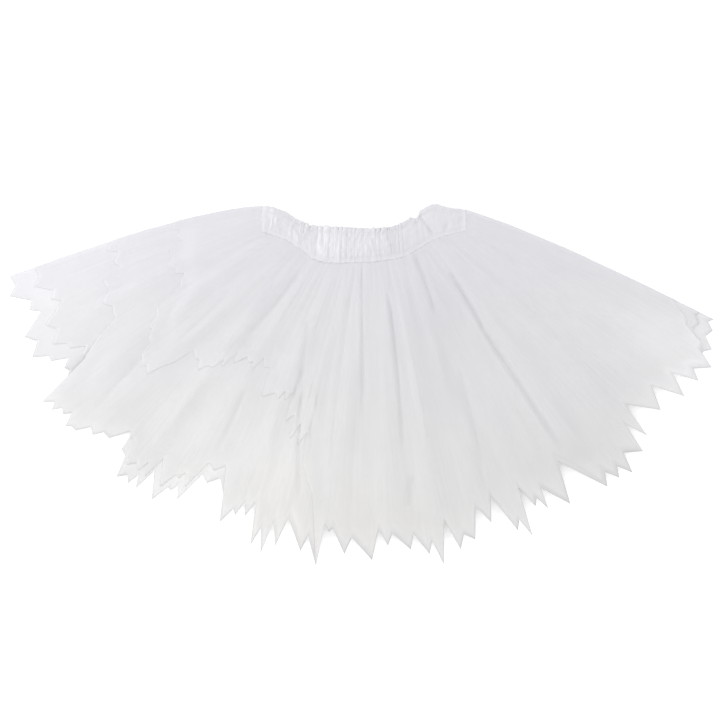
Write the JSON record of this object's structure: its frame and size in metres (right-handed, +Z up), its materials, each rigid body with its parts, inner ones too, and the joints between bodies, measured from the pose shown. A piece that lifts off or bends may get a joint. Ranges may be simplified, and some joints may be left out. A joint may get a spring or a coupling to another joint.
{
  "type": "ballet tutu",
  "caption": "Pull-on ballet tutu laid flat: gathered satin waistband over a fan of layered tulle with a jagged, pointed hem.",
  "frame": {"origin": "bottom centre of the garment's box, on the surface that it lies on", "axes": "+X across the garment from the left side seam to the right, +Y from the hem towards the waist, +Z up from the surface"},
  "size_m": [0.7072, 0.3628, 0.021],
  "materials": {
    "satin": "polyester satin, soft sheen",
    "tulle": "nylon tulle, matt"
  },
  "bodies": {
    "root": {"waistband": "satin", "outer_front_panel": "tulle", "inner_front_panel": "tulle", "inner_back_panel": "tulle", "outer_back_panel": "tulle"}
  },
  "joints": []
}
